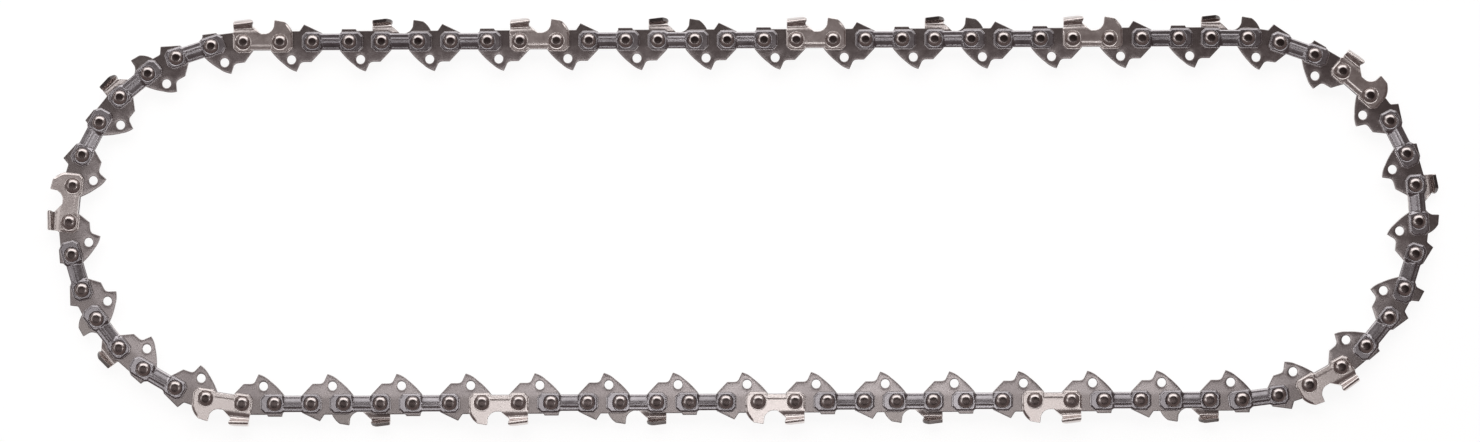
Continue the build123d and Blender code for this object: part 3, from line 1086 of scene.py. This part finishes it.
for run, (pairs, drives) in RUNS.items():
    for kind, label in (("plain", "drive_links"), ("bumper", "bumper_drive_links")):
        indexes = [2 * d + 1 for d in drives if drive_kind(d) == kind]
        dress(f"{run}_{label}", copies_of(kind, indexes), "drive_link_steel")
    for side in ("right", "left"):
        indexes = [2 * p for p in pairs if pair_kind(p) == f"{side}_cutter"]
        dress(f"{run}_{side}_cutters", copies_of(f"{side}_cutter", indexes), "cutter_steel")
    straps = copies_of("upper_strap", [2 * p for p in pairs if pair_kind(p) != "right_cutter"])
    straps += copies_of("lower_strap", [2 * p for p in pairs if pair_kind(p) != "left_cutter"])
    dress(f"{run}_tie_straps", straps, "strap_steel")
    dress(f"{run}_rivets", rivet_copies(pairs), "rivet_steel")

# The ends: every link has a node of its own, and a pair's rivets ride with one of its straps

for end, (pairs, drives) in ENDS.items():
    for number, drive in enumerate(drives, 1):
        copies = copies_of(drive_kind(drive), [2 * drive + 1])
        dress(f"{end}_drive_link_{number}", copies, "drive_link_steel")
    for number, pair in enumerate(pairs, 1):
        kind = pair_kind(pair)
        single = "upper_strap" if kind == "tie_strap" else kind
        other = "upper_strap" if kind == "left_cutter" else "lower_strap"
        slot = "strap_steel" if kind == "tie_strap" else "cutter_steel"
        riveted = f"{end}_riveted_strap_{number}"
        dress(f"{end}_{kind}_{number}", copies_of(single, [2 * pair]), slot)
        dress(riveted, copies_of(other, [2 * pair]), "strap_steel")
        add_piece(f"{end}_rivets_{number}", riveted, rivet_copies([pair]), "rivet_steel")

# Floor, in metres

FLOOR_HALF = 3.0
FLOOR_TONE = (0.9, 0.9, 0.9)
FLOOR_ROUGHNESS = 0.9
FLOOR_GLOW = 1.19
FLOOR_GLOW_SHARE = 0.75


def white_floor():
    """White paper: it shows as white itself and in reflections, and takes a soft shadow."""
    material = bpy.data.materials.new("white_floor")
    material.use_nodes = True
    nodes = material.node_tree.nodes
    links = material.node_tree.links
    shader = nodes["Principled BSDF"]
    shader.inputs["Base Color"].default_value = (*FLOOR_TONE, 1)
    shader.inputs["Roughness"].default_value = FLOOR_ROUGHNESS
    glow = add_node(nodes, "Emission", {"Strength": FLOOR_GLOW})
    path = add_node(nodes, "LightPath")
    seen = path.outputs["Is Camera Ray"]
    for ray in ("Is Glossy Ray", "Is Transmission Ray"):
        either = add_node(nodes, "Math", operation="ADD", use_clamp=True)
        links.new(seen, either.inputs[0])
        links.new(path.outputs[ray], either.inputs[1])
        seen = either.outputs[0]
    share = add_node(nodes, "Math", {1: FLOOR_GLOW_SHARE}, operation="MULTIPLY")
    links.new(seen, share.inputs[0])
    mix = add_node(nodes, "MixShader")
    links.new(share.outputs[0], mix.inputs["Fac"])
    links.new(shader.outputs["BSDF"], mix.inputs[1])
    links.new(glow.outputs["Emission"], mix.inputs[2])
    links.new(mix.outputs["Shader"], nodes["Material Output"].inputs["Surface"])
    return material


floor_mesh = bpy.data.meshes.new("floor")
floor_corners = [(x * FLOOR_HALF, y * FLOOR_HALF, 0) for x, y in ((-1, -1), (1, -1), (1, 1), (-1, 1))]
floor_mesh.from_pydata(floor_corners, [], [(0, 1, 2, 3)])
floor_mesh.materials.append(white_floor())
floor = bpy.data.objects.new("floor", floor_mesh)
bpy.context.scene.collection.objects.link(floor)

# Light, in metres: a window beyond the upper run, strips low over the lower run, and a panel on the left

WORLD_TONE = (0.124, 0.096, 0.093)
LAMPS = {
    "window": {
        "place": (0.0, 1.25, 1.10),
        "target": (0, 0, 0),
        "size": (2.6, 1.35),
        "radiance": 1.7,
    },
    "strip": {
        "place": (-0.06, -0.075, 0.6),
        "target": (-0.06, -0.075, 0),
        "size": (0.62, 0.065),
        "radiance": 1.95,
        "turn": -5,
    },
    "strip_middle": {
        "place": (0.055, -0.075, 0.61),
        "target": (0.055, -0.075, 0),
        "size": (0.26, 0.065),
        "radiance": 1.15,
    },
    "side": {
        "place": (-0.85, 0.05, 1.0),
        "target": (-0.1, 0, 0),
        "size": (0.5, 0.6),
        "radiance": 0.9,
    },
}


def panel(name, place, target, size, radiance, turn=0):
    """Soft rectangular light of a given radiance, aimed at a point and turned by degrees about its aim."""
    width, height = size
    light = bpy.data.lights.new(name, "AREA")
    light.shape = "RECTANGLE"
    light.size = width
    light.size_y = height
    light.energy = radiance * width * height * math.pi
    lamp = bpy.data.objects.new(name, light)
    lamp.location = place
    aim = (Vector(target) - Vector(place)).to_track_quat("-Z", "Y")
    lamp.rotation_euler = (aim @ Quaternion((0, 0, 1), math.radians(turn))).to_euler()
    bpy.context.scene.collection.objects.link(lamp)


world = bpy.data.worlds.new("studio")
world.use_nodes = True
world.node_tree.nodes["Background"].inputs["Color"].default_value = (*WORLD_TONE, 1)
world.node_tree.nodes["Background"].inputs["Strength"].default_value = 1.0
bpy.context.scene.world = world

for name, lamp in LAMPS.items():
    panel(name, **lamp)

# Camera, at the photograph's angle: straight above, fitted to the places of the rivets in the photograph

PHOTO_WIDTH = 1480
PHOTO_HEIGHT = 442
MM_PER_PIXEL = 0.26986
CENTRE_PIXEL = (743.85, 221.03)
CAMERA_ROLL = 0.00445
CAMERA_HEIGHT = 1.25

camera_data = bpy.data.cameras.new("camera")
camera = bpy.data.objects.new("camera", camera_data)
bpy.context.scene.collection.objects.link(camera)
view_width = PHOTO_WIDTH * MM_PER_PIXEL * MM
camera_data.sensor_fit = "HORIZONTAL"
camera_data.angle = 2 * math.atan(view_width / 2 / (CAMERA_HEIGHT - MIDDLE_HEIGHT * MM))
camera.location = (
    (PHOTO_WIDTH / 2 - CENTRE_PIXEL[0]) * MM_PER_PIXEL * MM,
    (CENTRE_PIXEL[1] - PHOTO_HEIGHT / 2) * MM_PER_PIXEL * MM,
    CAMERA_HEIGHT,
)
camera.rotation_euler = (0, 0, -CAMERA_ROLL)
bpy.context.scene.camera = camera
bpy.context.scene.view_settings.view_transform = "Standard"
